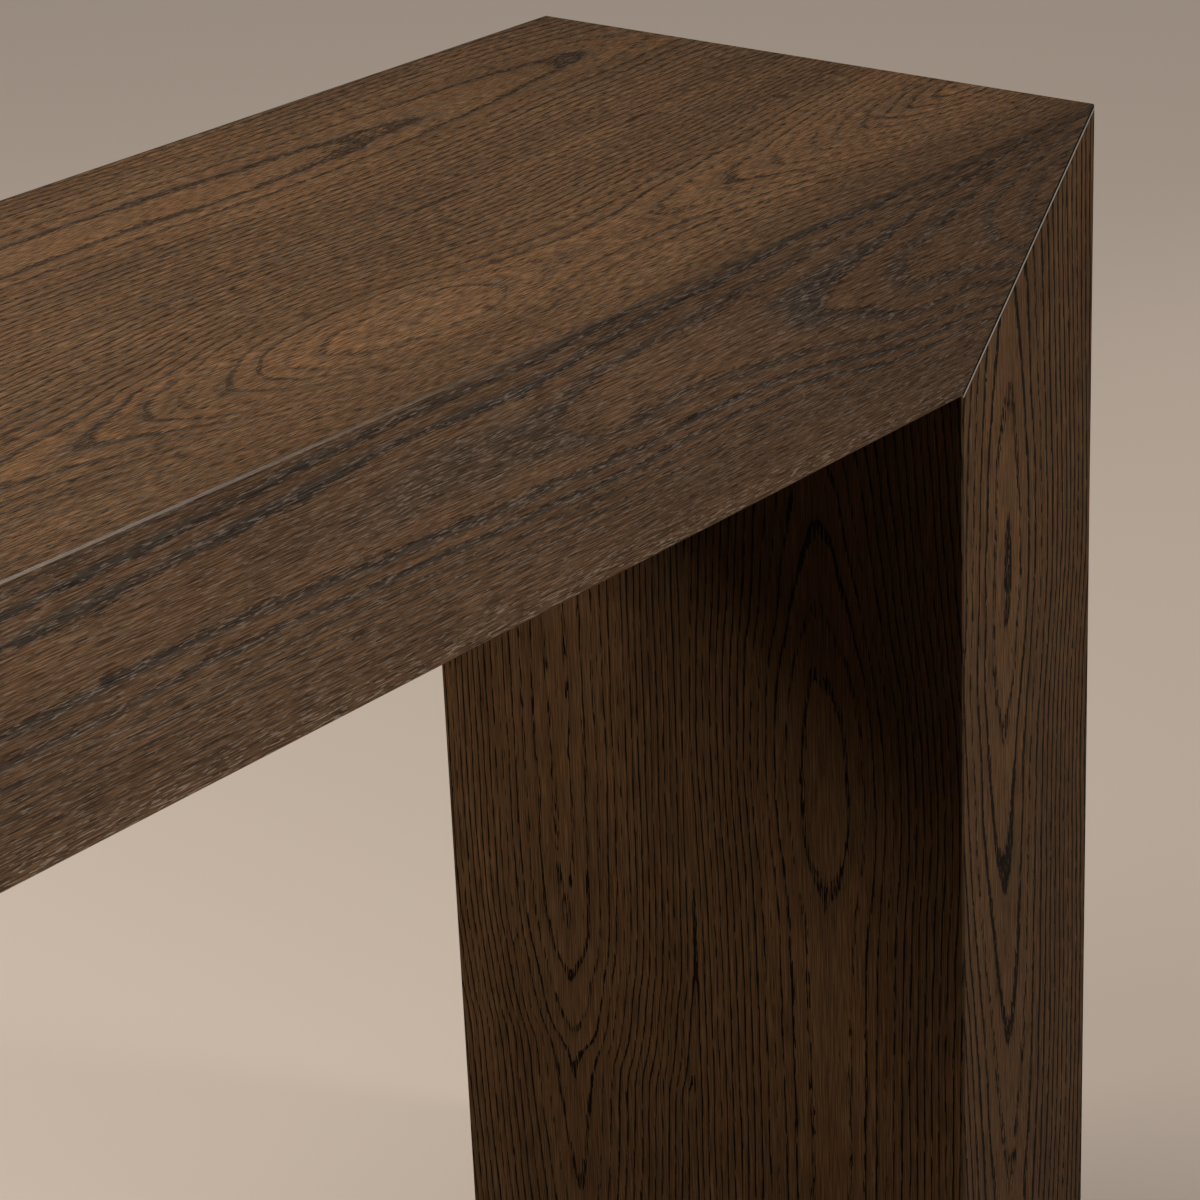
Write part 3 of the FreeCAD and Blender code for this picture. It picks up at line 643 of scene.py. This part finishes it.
def screw_head(mesh, place):
    """Adds one low dome under a board, closed at the back, with a cross recess for the driver."""
    head_radius, rim_height = 0.0045, 0.0009
    dome_steps = ((0.0002, 0.0006), (0.0005, 0.0005), (0.0007, 0.0003), (0.0005, 0.0001))
    slot_half_width, slot_reach, slot_depth, slot_taper = 0.0005, 0.0020, 0.0012, 0.00012
    rim = bmesh.ops.create_circle(mesh, cap_ends=True, segments=24, radius=head_radius)["verts"]
    back = rim[0].link_faces[0]
    made = bmesh.ops.extrude_face_region(mesh, geom=[back])["geom"]
    crown = next(face for face in made if isinstance(face, bmesh.types.BMFace))
    bmesh.ops.translate(mesh, vec=(0, 0, -rim_height), verts=crown.verts)
    wall = {face for edge in crown.edges for face in edge.link_faces}
    bmesh.ops.recalc_face_normals(mesh, faces=[back, *wall])
    for narrowing, drop in dome_steps:
        bmesh.ops.inset_region(mesh, faces=[crown], thickness=narrowing, depth=drop)
    flats = [crown]
    for across in (Vector((1, 0, 0)), Vector((0, 1, 0))):
        for offset in (-slot_reach, -slot_half_width, slot_half_width, slot_reach):
            bounds = {part for face in flats for part in (*face.verts, *face.edges)}
            cut = bmesh.ops.bisect_plane(mesh, geom=[*bounds, *flats], plane_co=across * offset, plane_no=across)
            flats = [face for face in cut["geom"] if isinstance(face, bmesh.types.BMFace)]
    cross = []
    for face in flats:
        near, far = sorted(abs(c) for c in face.calc_center_median().xy)
        if near < slot_half_width and far < slot_reach:
            cross.append(face)
    bmesh.ops.inset_region(mesh, faces=cross, thickness=slot_taper, depth=-slot_depth)
    head = [vert for vert in mesh.verts if vert.co.length < 2 * head_radius]
    bmesh.ops.translate(mesh, vec=place, verts=head)


def base_screws(side):
    """The four screws that hold one base board up to its cleats."""
    low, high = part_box(f"{side}_base_board")
    cleat_low, cleat_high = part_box(f"{side}_base_cleats")
    from_cleat_side, from_board_end = 0.011, 0.045
    mesh = bmesh.new()
    for x in (cleat_low.x + from_cleat_side, cleat_high.x - from_cleat_side):
        for y in (low.y + from_board_end, high.y - from_board_end):
            screw_head(mesh, (x, y, low.z))
    data = bpy.data.meshes.new(f"{side}_base_screws")
    mesh.to_mesh(data)
    mesh.free()
    piece = bpy.data.objects.new(f"{side}_base_screws", data)
    bpy.context.scene.collection.objects.link(piece)
    data.materials.append(bright_zinc)
    data.shade_smooth()
    sharp_from_degrees = 40.0
    data.set_sharp_from_angle(angle=math.radians(sharp_from_degrees))
    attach(piece, "table")


base_screws("left")
base_screws("right")

# Screw feet: a flanged insert pressed into the base board, an M8 stud with a six-sided collar, and a domed pad of
# black nylon that the stud's head turns in. Turning the collar with a spanner raises or lowers that corner.
dress(["left_foot_inserts", "right_foot_inserts"], bright_zinc)
half_collar_gap = 0.00015
above_collar_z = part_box("left_foot_inserts")[0].z - half_collar_gap
threaded_zinc = zinc("threaded_zinc", thread_pitch=0.00125, thread_from=above_collar_z)
dress([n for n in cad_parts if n.endswith("_foot_stud")], threaded_zinc)
nylon, tree, shader, point = new_material("black_nylon", roughness=0.48)
marks_per_metre = 1800.0
mould = stretched_noise(tree, *(maths(tree, "MULTIPLY", place, marks_per_metre) for place in point), detail=3.0)
nylon_black = blend_colours(tree, mould, (0.022, 0.022, 0.022, 1), (0.040, 0.039, 0.038, 1))
tree.links.new(nylon_black, shader.inputs["Base Color"])
set_bump(tree, shader, mould, distance=0.0001, strength=0.6)
dress([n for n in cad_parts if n.endswith("_foot_pad")], nylon)

# Stage: a plain pale floor that curves up into a backdrop all round, soft lights above and around the table, and the
# camera that looks down on the right-hand corner from the front and the left.
floor_mesh = bmesh.new()
outline = [(0.0, 0.0), (10.0, 0.0), (12.0, 0.3), (13.4, 1.1), (14.0, 2.4), (14.0, 7.0)]
below_pads = 0.0003
points = [floor_mesh.verts.new((reach, 0.0, rise - below_pads)) for reach, rise in outline]
edges = [floor_mesh.edges.new(pair) for pair in zip(points, points[1:])]
bmesh.ops.spin(
    floor_mesh, geom=points + edges, cent=(0, 0, 0), axis=(0, 0, 1), angle=math.tau, steps=96, use_merge=True
)
bmesh.ops.remove_doubles(floor_mesh, verts=floor_mesh.verts, dist=0.0001)
bmesh.ops.recalc_face_normals(floor_mesh, faces=floor_mesh.faces)
if min(floor_mesh.faces, key=lambda face: face.calc_center_median().z).normal.z < 0:
    bmesh.ops.reverse_faces(floor_mesh, faces=floor_mesh.faces)
floor_data = bpy.data.meshes.new("floor")
floor_mesh.to_mesh(floor_data)
floor_mesh.free()
floor_data.shade_smooth()
floor = bpy.data.objects.new("floor", floor_data)
bpy.context.scene.collection.objects.link(floor)
floor_paint, tree, shader, _ = new_material("floor_paint", roughness=0.75, specular=0.1)
rays = wire(tree, "ShaderNodeLightPath").node.outputs
seen = maths(tree, "MAXIMUM", rays["Is Camera Ray"], rays["Is Glossy Ray"])
seen = maths(tree, "MAXIMUM", seen, rays["Is Transmission Ray"])
paint = blend_colours(tree, seen, (0.070, 0.060, 0.050, 1), (0.46, 0.39, 0.33, 1))
paint_glow = blend_colours(tree, seen, (0, 0, 0, 1), (0.27, 0.222, 0.184, 1))
tree.links.new(paint, shader.inputs["Base Color"])
tree.links.new(paint_glow, shader.inputs["Emission Color"])
shader.inputs["Emission Strength"].default_value = 1.0
floor_data.materials.append(floor_paint)

world = bpy.data.worlds.new("soft_surround")
world.use_nodes = True
surround = world.node_tree.nodes["Background"].inputs
surround["Color"].default_value = (0.62, 0.56, 0.50, 1)
surround["Strength"].default_value = 0.035
bpy.context.scene.world = world


def soft_box(name, place, target, side, watts, colour, spread=180.0):
    """A soft square light at a place, turned to face a target, with its spread in degrees."""
    lamp = bpy.data.lights.new(name, "AREA")
    lamp.shape = "RECTANGLE"
    lamp.size, lamp.size_y = side, side
    lamp.energy = watts
    lamp.color = colour
    lamp.spread = math.radians(spread)
    made = bpy.data.objects.new(name, lamp)
    bpy.context.scene.collection.objects.link(made)
    made.location = place
    made.rotation_euler = (Vector(target) - Vector(place)).to_track_quat("-Z", "Y").to_euler()


warm, mild, plain = (1.0, 0.95, 0.88), (1.0, 0.96, 0.90), (1.0, 0.97, 0.93)
soft_box("back_left_light", (-0.25, 1.75, 2.1), target=(0.4, 0.0, 0.5), side=0.9, watts=33.0, colour=warm)
soft_box("overhead_light", (-0.5, 0.25, 2.7), target=(-0.3, 0.0, 0.0), side=1.0, watts=20.0, colour=mild)
soft_box("front_light", (1.4, -2.6, 2.0), target=(-0.8, -0.19, 0.7), side=1.1, watts=16.0, colour=plain, spread=67.0)
soft_box("right_light", (4.2, 0.13, 0.36), target=(0.76, 0.13, 0.36), side=0.55, watts=5.0, colour=plain, spread=60.0)

camera = bpy.data.objects.new("camera", bpy.data.cameras.new("camera"))
bpy.context.scene.collection.objects.link(camera)
camera.data.sensor_width = 36.0
camera.data.lens = 110.87
camera_place = (-0.8813, -1.2045, 1.2993)
degrees_right, degrees_down, degrees_leaning = 50.127, 23.017, 2.494
turn = Matrix.Rotation(math.radians(-degrees_right), 4, "Z")
tilt = Matrix.Rotation(math.radians(90.0 - degrees_down), 4, "X")
roll = Matrix.Rotation(math.radians(-degrees_leaning), 4, "Z")
camera.matrix_world = Matrix.Translation(camera_place) @ turn @ tilt @ roll
bpy.context.scene.camera = camera
bpy.context.scene.view_settings.view_transform = "Standard"
